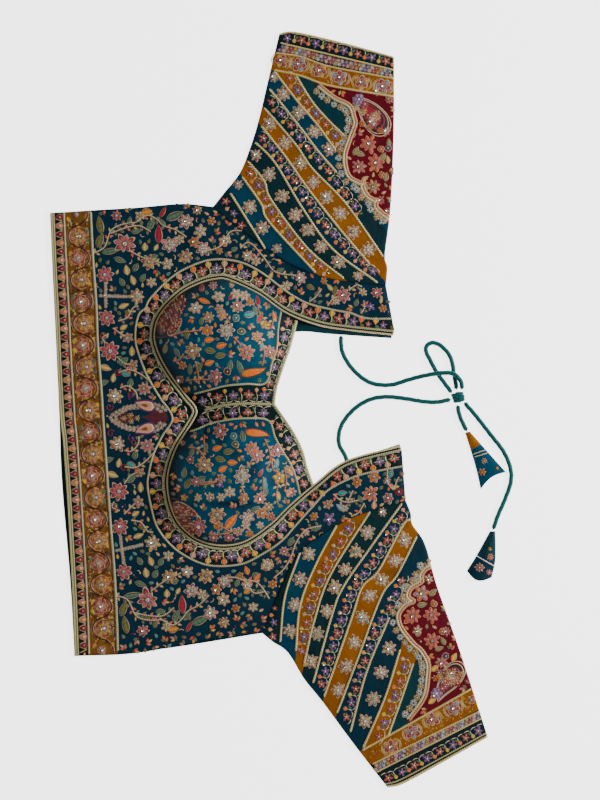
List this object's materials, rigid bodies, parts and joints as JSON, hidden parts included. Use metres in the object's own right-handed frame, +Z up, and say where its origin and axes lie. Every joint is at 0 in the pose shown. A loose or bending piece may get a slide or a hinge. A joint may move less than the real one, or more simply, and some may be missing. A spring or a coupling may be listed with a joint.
{
  "type": "choli blouse",
  "caption": "Choli blouse laid flat: padded cups in a bordered sweetheart front, elbow sleeves, corded edges and back-neck ties knotted in a half bow.",
  "frame": {"origin": "bottom centre of the garment's box, without its ties, on the surface that it lies on", "axes": "+X from the hem towards the shoulders, +Y towards the wearer's right sleeve, +Z up out of the blouse's front"},
  "size_m": [0.4861, 0.7933, 0.0396],
  "materials": {
    "printed_satin": "satin-silk printed with borders and embroidered with silk, gold thread and sequins",
    "printed_satin_back": "the same satin-silk, the back panel",
    "facing": "plain satin bias strip",
    "piping": "plain satin over a cord",
    "tie": "plain satin rolled into a cord"
  },
  "bodies": {
    "root": {"front_body": "printed_satin", "cup_right": "printed_satin", "cup_left": "printed_satin", "sleeve_right": "printed_satin", "sleeve_left": "printed_satin", "latkan_right": "printed_satin", "latkan_left": "printed_satin", "back_body": "printed_satin_back", "back_neck_binding": "facing", "neck_piping": "piping", "cup_piping_right": "piping", "cup_piping_left": "piping", "dori_right": "tie", "dori_left": "tie", "dori_loop": "tie", "dori_end_right": "tie", "dori_end_left": "tie", "dori_knot": "tie"}
  },
  "joints": []
}
